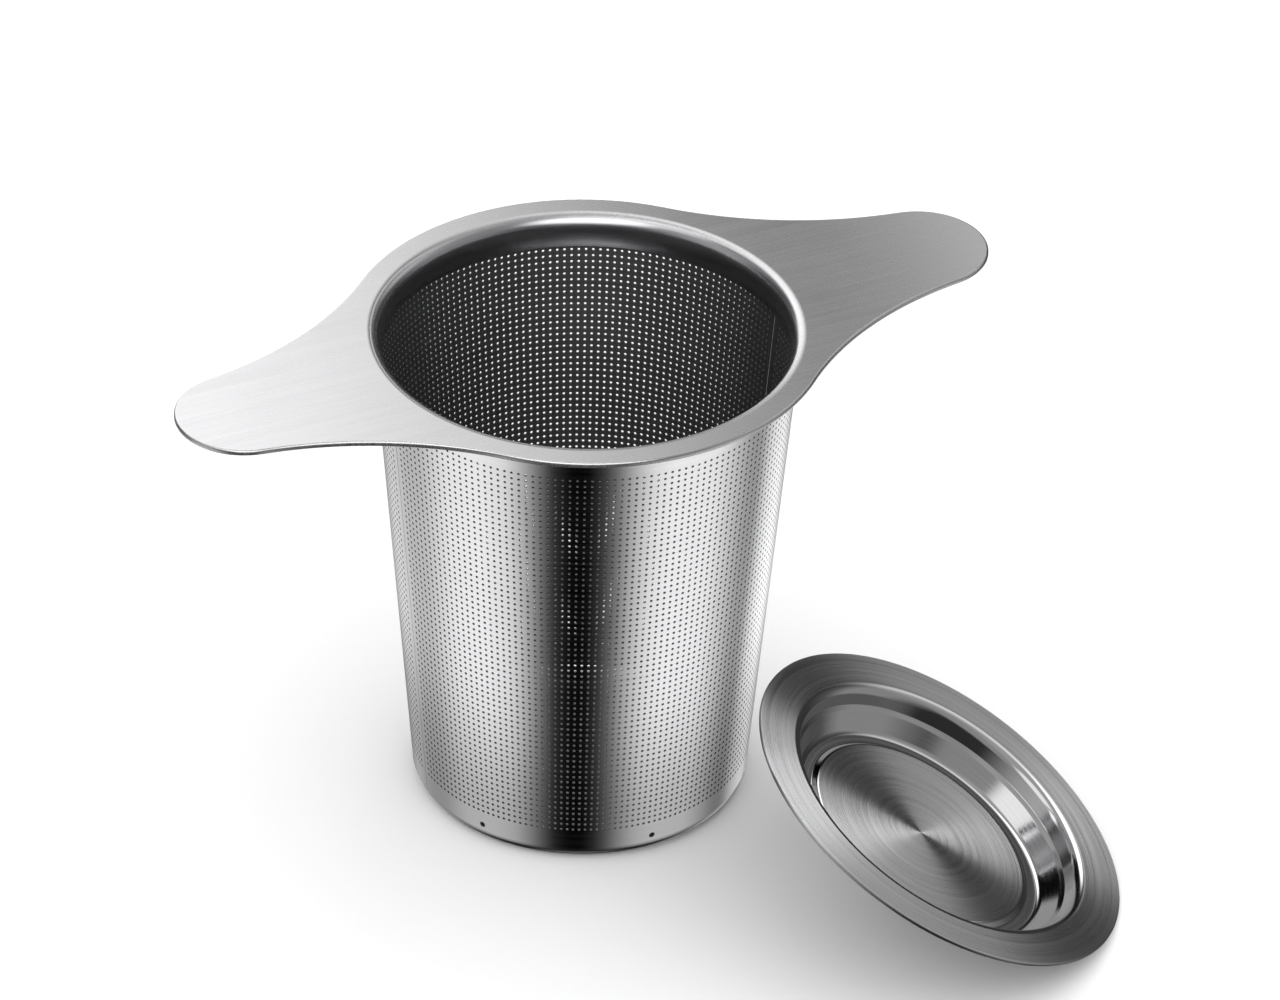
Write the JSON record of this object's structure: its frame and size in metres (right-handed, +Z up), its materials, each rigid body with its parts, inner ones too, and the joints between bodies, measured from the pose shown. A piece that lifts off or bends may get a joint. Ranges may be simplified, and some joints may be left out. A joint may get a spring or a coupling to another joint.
{
  "type": "basket strainer",
  "caption": "Tapered perforated steel basket with two flat rest wings on its rim plate, and a loose dished lid lying beside it; holds leaves or food while liquid drains.",
  "frame": {"origin": "centre of the basket's flat bottom face, on the surface it stands on", "axes": "+Z up along the basket's axis, +X out along one rest wing (through the seams), +Y towards the back wall sheet"},
  "size_m": [0.1496, 0.1365, 0.09],
  "materials": {
    "rim_plate": "linear brushed, polished shoulder and edge",
    "front_wall_sheet": "fine perforated sheet, bright satin",
    "back_wall_sheet": "fine perforated sheet, bright satin",
    "bottom_cap": "bright pressed steel, perforated disc",
    "lid": "circular spun brushing, polished shoulder"
  },
  "bodies": {
    "basket": {"rim_plate": "rim_plate", "front_wall_sheet": "front_wall_sheet", "back_wall_sheet": "back_wall_sheet", "bottom_cap": "bottom_cap"},
    "lid": {"lid": "lid"}
  },
  "joints": [
    {"name": "lid_lift", "type": "slide", "parent": "basket", "child": "lid", "axis": [0.4398, -0.2378, 0.866], "range_m": [0, 0.1]}
  ]
}
